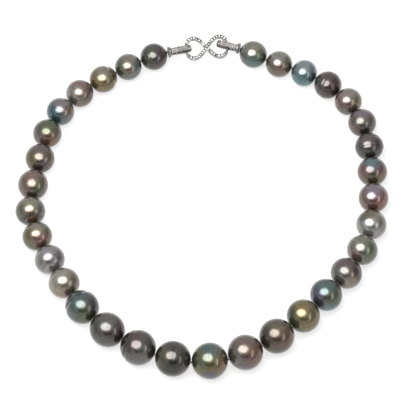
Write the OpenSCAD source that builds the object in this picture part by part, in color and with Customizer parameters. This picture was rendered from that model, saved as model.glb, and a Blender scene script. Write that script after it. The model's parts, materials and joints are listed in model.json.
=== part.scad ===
// Pearl necklace: a graduated strand of large near-round pearls, knotted on silk and closed
// by a figure-eight clasp that is pave set. It lies flat on the plane z = 0, clasp at +Y.
// All sizes are millimetres.

/* [Pearls] */
// Diameter of the pearls next to the clasp
smallest_d = 10.9; // [9:0.1:12.5]
// Diameter of the middle pearl
largest_d = 14.8; // [12.5:0.1:17]
// How late the pearls grow towards the middle: 1 grows evenly
graduation = 1.8; // [1:0.1:3]
// Gap between two pearls, where the knot sits
knot_gap = 0.5; // [0.4:0.05:1.2]
// Drilled hole through each pearl
bore_d = 0.8; // [0.6:0.05:1]
// Knot between two pearls
knot_d = 1.3; // [1.15:0.05:1.6]

/* [Loop] */
// Widens the loop's ends against its sides
loop_oval = 1.6; // [-4:0.1:4]
// Leans the oval to one side
loop_lean = -1.4; // [-4:0.1:4]
// Rounded three-cornered shape, with one corner at the middle pearl
loop_corner = 2; // [0:0.1:4]
// How far the clasp is pulled out of the loop's line
clasp_out = 2.6; // [0:0.1:3.4]
// How much further out the figure eight's right end lies than its left end
clasp_lean = 1.2; // [-2:0.1:2]
// Angle round the loop at which the knot after the middle pearl lies
start_angle = 8; // [0:1:12]

/* [Figure eight] */
// Overall length of the figure eight
eight_len = 17.8; // [16:0.1:21.4]
// Overall height of the figure eight
eight_h = 9.8; // [9:0.1:12]
// Roundness of its two lobes
eight_round = 0.25; // [0.1:0.01:0.32]
// Width of its stone set band
band_w = 1.5; // [1.3:0.05:1.7]
// Thickness of its stone set band
band_t = 1.2; // [1:0.05:1.5]
// Plain round wire at both ends, where the end links ride
wire_d = 0.8; // [0.6:0.05:1]
// Height of the figure eight's middle above the ground
eight_z = 4.8; // [4:0.1:6]
// Tilt of the figure eight towards the front
eight_tilt = 15; // [0:1:18]

/* [Gate] */
// Width of the slit between the gate and the fixed wire
gate_slit = 0.1; // [0.06:0.01:0.2]
// Diameter of the gate's hinge pin
gate_pin_d = 0.5; // [0.4:0.05:0.6]
// Thickness of the lug that holds the pin
lug_t = 0.4; // [0.3:0.05:0.5]

/* [End links] */
// Reach of an end link, from the knot to its far end
link_len = 10; // [9.6:0.1:12]
// Width of an end link
link_w = 3.4; // [3.2:0.1:4.2]
// Thickness of an end link, which the wire passes through
link_t = 2; // [1.7:0.05:2.3]
// Width of the slot that the figure eight's wire passes through
slot_w = 1.5; // [1.4:0.05:1.6]
// Rim diameter of the cup beside the pearl
cup_d = 4.1; // [3.4:0.1:4.6]
// Roll of the left end link about its own length
left_roll = 98; // [92:1:104]
// Roll of the right end link about its own length
right_roll = 81; // [78:1:85]
// Slack between the figure eight's wire and the end of the left link's slot
left_slack = 0.95; // [0.5:0.05:1.2]
// The same at the right link
right_slack = 3.2; // [0.5:0.1:3.4]

/* [Stones] */
// Stones on the figure eight's band
stone_d = 1; // [0.8:0.02:1.14]
// Stones on the end links
link_stone_d = 0.62; // [0.5:0.02:0.64]
// Gap between two stones in a row
stone_gap = 0.1; // [0.06:0.01:0.3]
// How far a stone's table stands above its seat
stone_h = 0.32; // [0.2:0.02:0.4]

/* [Hidden] */
$fn = 48;
// Clearance of a knot turning in the next pearl's seat, and of the silk in its hole
turn_clear = 0.08;
silk_clear = 0.05;
// Running clearance of the gate on its pin, and of stones in their channels
pin_clear = 0.04;
stone_clear = 0.02;
// Channel that the stones sit in: its depth, and the rail left on each side of it
channel_depth = 0.25;
rail_w = 0.14;

// One row for each pearl, counter-clockwise from the clasp. Hand chosen, as real pearls are:
// [added diameter, length along the silk as a share of the diameter,
//  how far the knot after it sits outside the smooth loop, rings].
// A ring is [place along the silk from -1 to 1, depth, width as a share of the half length].
PEARLS = [
    [ 0.0, 1.00,  0.4, [[0.45, 0.06, 0.07], [0.64, 0.08, 0.06]]],
    [-0.2, 1.01, -0.6, []],
    [-0.1, 1.03,  0.2, [[-0.60, 0.42, 0.11], [-0.28, 0.06, 0.06]]],
    [ 0.0, 1.00,  0.6, [[-0.52, 0.09, 0.06], [-0.70, 0.09, 0.06]]],
    [ 0.0, 0.98,  0.8, [[-0.68, 0.07, 0.06]]],
    [ 0.2, 0.98, -0.8, []],
    [ 0.2, 1.00, -1.6, []],
    [ 0.3, 1.02,  1.0, []],
    [ 0.0, 0.97,  1.0, [[0.74, 0.22, 0.12]]],
    [-0.2, 0.94, -0.4, [[-0.62, 0.09, 0.07]]],
    [-0.3, 0.94, -1.8, [[0.55, 0.05, 0.10]]],
    [-0.2, 0.95, -1.2, [[-0.62, 0.12, 0.07]]],
    [ 0.3, 1.02, -0.8, [[-0.42, 0.45, 0.10], [-0.64, 0.10, 0.06]]],
    [ 0.3, 1.04, -0.2, []],
    [ 0.4, 1.00,  0.4, [[-0.45, 0.25, 0.09], [-0.68, 0.14, 0.06]]],
    [ 0.1, 0.99,  1.4, [[0.10, 0.04, 0.08]]],
    [ 0.0, 0.98,  1.2, []],
    [ 0.0, 0.99, -0.2, []],
    [ 0.2, 1.00, -1.2, []],
    [ 0.0, 0.97, -1.4, [[0.50, 0.05, 0.06]]],
    [ 0.0, 0.95, -0.2, []],
    [ 0.0, 0.95,  1.4, [[0.55, 0.05, 0.06]]],
    [-0.1, 0.96,  2.0, []],
    [-0.1, 0.98,  0.8, []],
    [ 0.0, 0.99, -0.8, []],
    [ 0.2, 0.96, -0.6, []],
    [ 0.0, 0.95,  0.8, [[-0.40, 0.12, 0.07], [0.34, 0.14, 0.07], [0.62, 0.09, 0.06]]],
    [ 0.0, 0.98,  2.0, []],
    [-0.1, 0.97,  1.8, []],
    [ 0.2, 0.97,  0.6, [[-0.50, 0.12, 0.07], [0.08, 0.10, 0.07], [0.55, 0.09, 0.06]]],
    [-0.2, 0.95, -0.6, []],
    [-0.2, 0.99, -0.8, []],
    [ 0.0, 1.02,  2.0, [[0.30, 0.05, 0.07]]]
];
pearls = len(PEARLS);
middle = (pearls + 1) / 2;

function pearl_node(k) = str("pearl_", k < 10 ? "0" : "", k);

// ---- Pearl sizes ----
function nearness(k) = 1 - abs(k - middle) / (middle - 1);
function pearl_d(k) = smallest_d + (largest_d - smallest_d) * pow(nearness(k), graduation) + PEARLS[k - 1][0];
function pearl_len(k) = pearl_d(k) * PEARLS[k - 1][1];

// ---- The chain of rigid pieces, counter-clockwise from the pearl after the middle one ----
// A piece is a pearl's number, or one of these.
RIGHT_END = 101;
EIGHT = 102;
LEFT_END = 103;
CHAIN = concat([for (k = [middle + 1 : pearls]) k], [RIGHT_END, EIGHT, LEFT_END], [for (k = [1 : middle]) k]);
pieces = len(CHAIN);

slot_end = link_len - (link_w - slot_w) / 2;
eight_a = (eight_len - wire_d) / 2;
eight_b = (eight_h - band_w) / 2;
left_reach = slot_end - wire_d / 2 - left_slack;
right_reach = slot_end - wire_d / 2 - right_slack;

// Length of a piece between its two pivots
function piece_len(p) = p == RIGHT_END ? right_reach
    : p == LEFT_END ? left_reach
    : p == EIGHT ? 2 * eight_a
    : pearl_len(p) + knot_gap;

// Height of the pivot at the start of piece i, above the lowest pearl's seat on the ground
function bore_z(p) = p > 100 ? undef : pearl_d(p) / 2;
function pivot_z(i) = let (p = CHAIN[i % pieces], q = CHAIN[(i + pieces - 1) % pieces])
    p > 100 && q > 100 ? eight_z
    : p > 100 ? bore_z(q)
    : q > 100 ? bore_z(p)
    : (bore_z(p) + bore_z(q)) / 2;
PIVOT_Z = [for (i = [0 : pieces]) pivot_z(i)];

// Distance of pivot i outside the smooth loop
function sway(i) = let (q = CHAIN[(i + pieces - 1) % pieces])
    q == RIGHT_END ? clasp_out + clasp_lean / 2
    : q == EIGHT ? clasp_out - clasp_lean / 2
    : q == LEFT_END ? clasp_out / 2
    : PEARLS[q - 1][2];
SWAY = [for (i = [0 : pieces]) sway(i)];

// The loop, seen from above: angle 0 is at the front, and grows counter-clockwise
function loop_point(r, a, out) =
    (r + loop_oval * cos(2 * a) + loop_lean * sin(2 * a) + loop_corner * cos(3 * a) + out) * [sin(a), -cos(a)];

// Length of each piece in plan, since its two ends differ in height
PLAN = [for (i = [0 : pieces - 1]) sqrt(pow(piece_len(CHAIN[i]), 2) - pow(PIVOT_Z[i + 1] - PIVOT_Z[i], 2))];

// The angle at which piece i ends, when it starts at angle a
function refine(r, i, a, turn, n) = n == 0 ? a + turn
    : refine(r, i, a, turn * PLAN[i] / norm(loop_point(r, a + turn, SWAY[i + 1]) - loop_point(r, a, SWAY[i])), n - 1);
function next_angle(r, i, a) = refine(r, i, a, PLAN[i] / r * 180 / PI, 5);
function end_angle(r, i, a) = i == pieces ? a : end_angle(r, i + 1, next_angle(r, i, a));
function fit_radius(r, n) = n == 0 ? r : fit_radius(r * (end_angle(r, 0, start_angle) - start_angle) / 360, n - 1);
function walk(r, i, a) = i == pieces ? [a] : concat([a], walk(r, i + 1, next_angle(r, i, a)));

total_len = PLAN * [for (p = PLAN) 1];
loop_r = fit_radius(total_len / (2 * PI), 9);
ANGLES = walk(loop_r, 0, start_angle);
FLAT = [for (i = [0 : pieces]) loop_point(loop_r, ANGLES[i], SWAY[i])];

// ---- Centring: the box of the pearls is centred on the origin and stands on z = 0 ----
function index_of(p) = search([p], CHAIN)[0];
function flat_mid(p) = (FLAT[index_of(p)] + FLAT[index_of(p) + 1]) / 2;
function z_mid(p) = (PIVOT_Z[index_of(p)] + PIVOT_Z[index_of(p) + 1]) / 2;
function flat_heading(i) = let (v = FLAT[i + 1] - FLAT[i]) atan2(v[1], v[0]);
function half_box(p) = let (h = flat_heading(index_of(p)), a = pearl_len(p) / 2, b = pearl_d(p) / 2)
    [norm([a * cos(h), b * sin(h)]), norm([a * sin(h), b * cos(h)])];
LOWS = [for (p = [1 : pearls]) flat_mid(p) - half_box(p)];
HIGHS = [for (p = [1 : pearls]) flat_mid(p) + half_box(p)];
centre_x = (min([for (v = LOWS) v[0]]) + max([for (v = HIGHS) v[0]])) / 2;
// At the back the figure eight reaches further than the pearls do
back_y = max(concat([for (v = HIGHS) v[1]], [flat_mid(EIGHT)[1] + eight_h / 2 * cos(eight_tilt)]));
centre_y = (min([for (v = LOWS) v[1]]) + back_y) / 2;
ground = min([for (p = [1 : pearls]) z_mid(p) - pearl_d(p) / 2]);
PIVOTS = [for (i = [0 : pieces]) [FLAT[i][0] - centre_x, FLAT[i][1] - centre_y, PIVOT_Z[i] - ground]];

// Puts the children on the piece that runs from point a to point b, with +X along it
module along(a, b) {
    v = b - a;
    translate(a) rotate([0, -atan2(v[2], norm([v[0], v[1]])), atan2(v[1], v[0])]) children();
}

// ---- Pearls ----
PROFILE_STEP = 5;
function dip(k, u) = let (rings = PEARLS[k - 1][3])
    len(rings) == 0 ? 0 : [for (g = rings) g[1] * exp(-pow((u - g[0]) / g[2], 2))] * [for (g = rings) 1];
function profile_point(k, a) = [pearl_d(k) / 2 * cos(a) - dip(k, sin(a)) * cos(a), pearl_len(k) / 2 * sin(a)];

// Half section of pearl k, with the knot before it at the origin and the silk along +Y: the
// drilled hole and the seats of both knots are taken out of it
module pearl_section(k, seat) {
    length = pearl_len(k) + knot_gap;
    difference() {
        translate([0, length / 2])
            polygon(concat(
                [[0, -pearl_len(k) / 2]],
                [for (a = [-90 + PROFILE_STEP : PROFILE_STEP : 90 - PROFILE_STEP]) profile_point(k, a)],
                [[0, pearl_len(k) / 2]]));
        square([bore_d, 3 * length], center = true);
        circle(r = seat);
        translate([0, length]) circle(r = seat);
    }
}

// Half section of a length of silk with the knots on it
module silk_section(from, to, knots, size) {
    intersection() {
        union() {
            translate([0, from]) square([bore_d / 2 - silk_clear, to - from]);
            for (y = knots)
                translate([0, y]) circle(d = size);
        }
        translate([0, from - size]) square([size, to - from + 2 * size]);
    }
}

// A pearl with the silk that runs through it. The silk ends in this pearl's own knot, on the
// side that is further from the middle pearl.
module pearl(k) {
    i = index_of(k);
    length = pearl_len(k) + knot_gap;
    knot_before = k <= middle;
    knot_after = k >= middle;
    seat = knot_d / 2 + turn_clear;
    knots = [if (knot_before) 0, if (knot_after) length];
    along(PIVOTS[i], PIVOTS[i + 1])
        rotate([0, 90, 0]) {
            color(k % 3 == 0 ? "dimgray" : k % 3 == 1 ? "slategray" : "darkolivegreen")
                rotate_extrude($fn = 72) pearl_section(k, seat);
            color("gray")
                rotate_extrude()
                    silk_section(knot_before ? 0 : seat, knot_after ? length : length - seat, knots, knot_d);
        }
}

// ---- End links ----
// Each is drawn from the knot beside its pearl, at the origin, along +X
cup_rim = 0.5;
cup_back = 1.7;
cup_neck_d = 2.4;
// The bell is straight for this long beside its rim, then rounds in to its neck
cup_skirt = 0.45;
link_start_w = 2.8;
link_flare = 3;
eye_x = 2.75;
eye_d = 1.3;
slot_start = 3.9;
arm_w = (link_w - slot_w) / 2;
tie_knot_d = 1.1;

function cup_shoulder(a) = [cup_neck_d / 2 + (cup_d - cup_neck_d) / 2 * cos(a),
                            cup_rim + cup_skirt + (cup_back - cup_rim - cup_skirt) * sin(a)];

module end_cup() {
    color("silver")
    rotate([0, 90, 0])
        rotate_extrude()
            difference() {
                polygon(concat([[0, cup_back], [0, cup_rim], [cup_d / 2, cup_rim]],
                    [for (a = [0 : 15 : 90]) cup_shoulder(a)]));
                circle(r = knot_d / 2 + turn_clear);
                square([bore_d, 4 * cup_back], center = true);
            }
}

// A long shape with a round far end, from x0 to the link's end less inset, and w wide
module rounded_bar(x0, inset, w) {
    translate([link_len - link_w / 2, 0]) circle(d = w);
    translate([x0, -w / 2]) square([link_len - link_w / 2 - x0, w]);
}

module slot_outline(grow) {
    translate([link_len - link_w / 2, 0]) circle(d = slot_w + 2 * grow);
    translate([slot_start + slot_w / 2, 0]) circle(d = slot_w + 2 * grow);
    translate([slot_start + slot_w / 2, -slot_w / 2 - grow])
        square([link_len - link_w / 2 - slot_start - slot_w / 2, slot_w + 2 * grow]);
}

module link_outline() {
    difference() {
        union() {
            rounded_bar(cup_back + link_flare - 0.6, 0, link_w);
            polygon([[cup_back, -link_start_w / 2], [cup_back + link_flare - 0.5, -link_w / 2],
                     [cup_back + link_flare - 0.5, link_w / 2], [cup_back, link_start_w / 2]]);
        }
        slot_outline(0);
        translate([eye_x, 0]) circle(d = eye_d);
    }
}

// The channel that holds the stones, round the slot on one face
module link_channel() {
    difference() {
        rounded_bar(slot_start + slot_w / 2, 0, link_w - 2 * rail_w);
        slot_outline(rail_w);
        square([2 * (slot_start + slot_w / 2), 2 * link_w], center = true);
    }
}

module end_link() {
    color("silver")
    difference() {
        translate([0, 0, -link_t / 2]) linear_extrude(link_t) link_outline();
        for (side = [-1, 1])
            translate([0, 0, side * link_t / 2 - channel_depth])
                linear_extrude(2 * channel_depth) link_channel();
        rotate([0, 90, 0]) cylinder(d = bore_d, h = eye_x);
    }
}

// A cut stone: its girdle rests on the seat and its table is the small end
module stone(d) {
    cylinder(d1 = d, d2 = d * 0.55, h = stone_h, $fn = 24);
}

link_pitch = link_stone_d + stone_gap;
row_y = (slot_w + arm_w) / 2;
row_start = slot_start + slot_w / 2 + link_stone_d / 2 + stone_clear;
row_end = link_len - link_w / 2;
row_count = floor((row_end - row_start) / link_pitch) + 1;
bend_count = floor(PI * row_y / link_pitch) - 1;

module end_stones() {
    color("white")
    for (side = [0, 1])
        rotate([side * 180, 0, 0])
            translate([0, 0, link_t / 2 - channel_depth]) {
                for (n = [0 : row_count - 1], y = [-row_y, row_y])
                    translate([row_end - n * link_pitch, y, 0]) stone(link_stone_d);
                for (n = [1 : bend_count])
                    translate([row_end, 0, 0])
                        rotate(-90 + n * 180 / (bend_count + 1))
                            translate([row_y, 0, 0]) stone(link_stone_d);
            }
}

// The strand's end: silk through the cup, tied off in the link's eye
module end_tie() {
    color("gray")
    rotate([0, 90, 0])
        rotate_extrude() silk_section(knot_d / 2 + turn_clear, eye_x, [eye_x], tie_knot_d);
}

module at_left_end() {
    i = index_of(LEFT_END);
    along(PIVOTS[i + 1], PIVOTS[i]) rotate([left_roll, 0, 0]) children();
}

module at_right_end() {
    i = index_of(RIGHT_END);
    along(PIVOTS[i], PIVOTS[i + 1]) rotate([right_roll, 0, 0]) children();
}

// ---- Figure eight ----
// Drawn about its crossing, with +X from the left lobe to the right one. Its line is a closed
// curve of one parameter: 0 at the right end, 90 and 270 at the crossing, 180 at the left end.
function eight_point(t) = [eight_a * cos(t) * (1 - eight_round * pow(sin(t), 2)), eight_b * sin(2 * t)];
function eight_dir(t) = let (v = eight_point(t + 0.5) - eight_point(t - 0.5)) v / norm(v);
function eight_side(t, w) = let (d = eight_dir(t)) eight_point(t) + w * [-d[1], d[0]];

BAND_STEP = 3;
wire_span = 20;
gate_tip = 196;
// At the crossing: length of the line for each degree, and sine of the angle between its two arms
crossing_run = eight_a * (1 - eight_round);
crossing_rise = 2 * eight_b;
crossing_step = norm([crossing_run, crossing_rise]) * PI / 180;
crossing_sine = 2 * crossing_run * crossing_rise / pow(norm([crossing_run, crossing_rise]), 2);
// The gate's eye clears the long band
gate_pivot = 270 - (band_w + 2 * gate_slit) / (crossing_sine * crossing_step);
// The lower right arm is soldered to the long band at the crossing, and its stones start beyond it
branch_start = 271;
branch_stones = 277;

// How far on the parameter goes at t for a run along the line
function line_step(t, run) = run / norm(eight_point(t + 1) - eight_point(t));

// Sides of a band w wide along the line from t0 to t1
module band(t0, t1, w) {
    ts = [for (n = [0 : ceil((t1 - t0) / BAND_STEP)]) min(t1, t0 + n * BAND_STEP)];
    count = len(ts);
    polygon(concat(
        [for (t = ts) eight_side(t, -w / 2)],
        [for (n = [count - 1 : -1 : 0]) eight_side(ts[n], w / 2)]));
}

// The plain round wire round one end is the arc that touches the line there
wire_bend_r = 4 * eight_b * eight_b / (eight_a * (1 + 2 * eight_round));

// Angle round that arc of the line's point t degrees from the end
function wire_angle(t) = let (p = eight_point(t)) atan2(p[1], p[0] - (eight_a - wire_bend_r));
// How far each wire runs into the end of its band, where it is soldered
wire_socket = 0.3;
socket_angle = wire_socket / wire_bend_r * 180 / PI;

module end_wire(from_angle, to_angle) {
    translate([eight_a - wire_bend_r, 0, 0])
        rotate([0, 0, from_angle])
            rotate_extrude(angle = to_angle - from_angle, $fn = 96)
                translate([wire_bend_r, 0]) circle(d = wire_d, $fn = 24);
}

PIVOT_POINT = eight_point(gate_pivot);

module at_gate_pin(z) {
    translate([PIVOT_POINT[0], PIVOT_POINT[1], z]) children();
}

// The frame's long band and its lower right arm
module frame_bands(w, branch_from) {
    band(wire_span, 180 - wire_span, w);
    band(branch_from, 360 - wire_span, w);
}

// Flat lug under the gate's eye
module gate_lug_outline() {
    translate(PIVOT_POINT) circle(d = band_w);
    rotate(atan2(PIVOT_POINT[1], PIVOT_POINT[0]))
        translate([0, -band_w / 2]) square([norm(PIVOT_POINT), band_w]);
}

module eight_frame() {
    color("silver")
    difference() {
        union() {
            translate([0, 0, -band_t / 2]) linear_extrude(band_t) frame_bands(band_w, branch_start);
            translate([0, 0, -band_t / 2]) linear_extrude(lug_t) gate_lug_outline();
        }
        translate([0, 0, band_t / 2 - channel_depth])
            linear_extrude(2 * channel_depth) frame_bands(band_w - 2 * rail_w, branch_stones);
        at_gate_pin(-band_t) cylinder(d = gate_pin_d, h = 2 * band_t);
    }
}

module right_end_wire() {
    color("gainsboro")
    end_wire(wire_angle(-wire_span) - socket_angle, wire_angle(wire_span) + socket_angle);
}

// This one stops short of the gate by the slit
module left_end_wire() {
    color("gainsboro")
    difference() {
        mirror([1, 0, 0])
            end_wire(wire_angle(-wire_span) - socket_angle, wire_angle(gate_tip - 180));
        translate([0, 0, -band_t]) linear_extrude(2 * band_t)
            band(gate_tip - line_step(gate_tip, gate_slit), gate_pivot, 2 * band_w);
    }
}

// Parameters of the stones from t0 on, each a pitch further along the line, up to t1
band_pitch = stone_d + stone_gap;
function stone_row(t, t1) = t > t1 ? [] : concat([t], stone_row(t + line_step(t, band_pitch), t1));
row_margin = 5;

module band_stones(t0, t1) {
    for (t = stone_row(t0 + row_margin, t1 - row_margin))
        translate([eight_point(t)[0], eight_point(t)[1], band_t / 2 - channel_depth]) stone(stone_d);
}

module eight_stones() {
    color("white") {
        band_stones(wire_span, 180 - wire_span);
        band_stones(branch_stones, 360 - wire_span);
    }
}

// The gate's stones end short of its eye
gate_channel_end = gate_pivot - 8;

// The gate: the upper left arm. It turns on its pin, and its tip, which closes the left lobe, swings out.
module gate() {
    color("silver")
    difference() {
        union() {
            translate([0, 0, -band_t / 2]) linear_extrude(band_t) band(gate_tip, gate_pivot, band_w);
            at_gate_pin(-band_t / 2) cylinder(d = band_w, h = band_t);
        }
        at_gate_pin(-band_t) cylinder(d = gate_pin_d + 2 * pin_clear, h = 2 * band_t);
        at_gate_pin(-band_t) cylinder(r = band_w / 2 + 2 * gate_slit, h = band_t / 2 + lug_t + pin_clear);
        translate([0, 0, band_t / 2 - channel_depth]) linear_extrude(2 * channel_depth)
            band(gate_tip + 3, gate_channel_end, band_w - 2 * rail_w);
    }
}

module gate_stones() {
    color("white") band_stones(gate_tip + 1, gate_channel_end + 2);
}

module gate_pin() {
    color("gainsboro") at_gate_pin(-band_t / 2) cylinder(d = gate_pin_d, h = band_t);
}

module at_eight() {
    i = index_of(EIGHT);
    v = PIVOTS[i] - PIVOTS[i + 1];
    translate((PIVOTS[i] + PIVOTS[i + 1]) / 2)
        rotate([0, 0, atan2(v[1], v[0])]) rotate([eight_tilt, 0, 0]) children();
}

for (k = [1 : pearls])
    pearl(k);
at_left_end() end_cup();  // left_cup
at_left_end() end_link();  // left_link
at_left_end() end_stones();  // left_stones
at_left_end() end_tie();  // left_tie
at_right_end() end_cup();  // right_cup
at_right_end() end_link();  // right_link
at_right_end() end_stones();  // right_stones
at_right_end() end_tie();  // right_tie
at_eight() eight_frame();
at_eight() left_end_wire();
at_eight() right_end_wire();
at_eight() eight_stones();
at_eight() gate();
at_eight() gate_stones();
at_eight() gate_pin();
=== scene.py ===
"""A graduated strand of dark pearls, knotted on silk, with a pave figure-eight clasp."""

import json
import math

import bmesh
import bpy
from bpy.props import FloatProperty, FloatVectorProperty, IntProperty, PointerProperty
from bpy.types import Operator, Panel, PropertyGroup
from mathutils import Matrix, Vector


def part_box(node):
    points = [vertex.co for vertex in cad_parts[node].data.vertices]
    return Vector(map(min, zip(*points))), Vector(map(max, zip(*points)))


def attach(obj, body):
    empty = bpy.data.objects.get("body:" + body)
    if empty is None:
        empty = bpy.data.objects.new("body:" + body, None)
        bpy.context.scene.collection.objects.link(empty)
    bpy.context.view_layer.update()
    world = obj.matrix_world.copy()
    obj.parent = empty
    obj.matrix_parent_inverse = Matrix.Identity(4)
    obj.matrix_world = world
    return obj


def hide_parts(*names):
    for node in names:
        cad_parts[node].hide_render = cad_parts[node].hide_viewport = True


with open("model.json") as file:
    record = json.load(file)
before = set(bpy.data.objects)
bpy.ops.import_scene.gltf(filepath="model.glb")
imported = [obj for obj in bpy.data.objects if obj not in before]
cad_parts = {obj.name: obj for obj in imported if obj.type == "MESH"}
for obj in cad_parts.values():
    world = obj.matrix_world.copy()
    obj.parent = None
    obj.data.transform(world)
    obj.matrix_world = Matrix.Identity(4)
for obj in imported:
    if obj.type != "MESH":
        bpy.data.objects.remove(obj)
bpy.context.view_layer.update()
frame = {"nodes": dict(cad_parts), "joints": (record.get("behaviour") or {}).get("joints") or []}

bl_info = {
    "name": "Pearl necklace",
    "version": (1, 0, 0),
    "blender": (4, 5, 0),
    "location": "View3D > Sidebar > Necklace",
    "description": "Builds a knotted pearl strand with a figure-eight clasp",
    "category": "Add Mesh",
}

MM = 0.001
PEARLS = 33
MIDDLE = 17
KNOT_GAP = 0.5 * MM
PIVOTS = {joint["name"]: Vector(joint["pos_m"]) for joint in frame["joints"]}
GATE_HINGE = next(joint for joint in frame["joints"] if joint["name"] == "gate_hinge")

# Sizes of the end links, as in the solid model
LINK_LENGTH = 10 * MM
LINK_WIDTH = 3.4 * MM
LINK_THICKNESS = 2 * MM
LINK_FLARE_START = 1.7 * MM
LINK_FLARE_END = 4.2 * MM
LINK_NECK_WIDTH = 2.8 * MM
BAND_THICKNESS = 1.2 * MM
CUP_DIAMETER = 4.1 * MM
CUP_RIM = 0.7 * MM

# Beads round the rim of a cup, and the rows of stones on the edge of an end link, which lie
# this share of its thickness from the middle
CUP_BEADS = 22
CUP_BEAD_RADIUS = 0.2 * MM
EDGE_ROW = 0.24
# The turn in radians from one stone to the next, so that neighbours glitter differently
STONE_TURN = 2.4

# The way the strand is looked at on a jeweller's tray: from the front, well above it, through a
# long lens. The target is the middle of the view, and the width is what is seen there.
VIEW_ELEVATION = math.radians(60)
VIEW_TARGET = Vector((1.0 * MM, 1.0 * MM, 5.6 * MM))
VIEW_WIDTH = 163.6 * MM
LENS = 1200.0
SENSOR = 36.0
FLOOR_SIZE = 12.0
TOWARDS = Vector((0, -math.cos(VIEW_ELEVATION), math.sin(VIEW_ELEVATION)))
UPWARDS = Vector((0, math.sin(VIEW_ELEVATION), math.cos(VIEW_ELEVATION)))
RIGHTWARDS = Vector((1, 0, 0))

# Growth rings of the circled pearls: place along the silk from -1 to 1, depth in mm, and width
# as a share of the half length. They are the same as in the solid model
RINGS = {
    1: [(0.45, 0.06, 0.07), (0.64, 0.08, 0.06)],
    3: [(-0.60, 0.42, 0.11), (-0.28, 0.06, 0.06)],
    4: [(-0.52, 0.09, 0.06), (-0.70, 0.09, 0.06)],
    5: [(-0.68, 0.07, 0.06)],
    9: [(0.74, 0.22, 0.12)],
    10: [(-0.62, 0.09, 0.07)],
    11: [(0.55, 0.05, 0.10)],
    12: [(-0.62, 0.12, 0.07)],
    13: [(-0.42, 0.45, 0.10), (-0.64, 0.10, 0.06)],
    15: [(-0.45, 0.25, 0.09), (-0.68, 0.14, 0.06)],
    16: [(0.10, 0.04, 0.08)],
    20: [(0.50, 0.05, 0.06)],
    22: [(0.55, 0.05, 0.06)],
    27: [(-0.40, 0.12, 0.07), (0.34, 0.14, 0.07), (0.62, 0.09, 0.06)],
    30: [(-0.50, 0.12, 0.07), (0.08, 0.10, 0.07), (0.55, 0.09, 0.06)],
    33: [(0.30, 0.05, 0.07)],
}

# Colours of nacre, by a pearl grader's names
TONES = {
    "slate": (0.064, 0.062, 0.056),
    "steel": (0.116, 0.119, 0.108),
    "silver": (0.233, 0.228, 0.214),
    "peacock": (0.032, 0.086, 0.099),
    "teal": (0.056, 0.113, 0.106),
    "leaf": (0.070, 0.090, 0.045),
    "olive": (0.105, 0.091, 0.042),
    "gold": (0.211, 0.149, 0.063),
    "champagne": (0.216, 0.198, 0.147),
    "copper": (0.146, 0.073, 0.043),
    "rose": (0.202, 0.106, 0.097),
    "aubergine": (0.054, 0.030, 0.034),
    "mauve": (0.097, 0.077, 0.080),
    "lilac": (0.189, 0.152, 0.184),
    "taupe": (0.119, 0.097, 0.075),
    "sky": (0.100, 0.176, 0.214),
    "violet": (0.072, 0.068, 0.132),
    "ink": (0.018, 0.018, 0.015),
    "umber": (0.058, 0.048, 0.036),
    "cream": (0.294, 0.267, 0.189),
}

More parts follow.
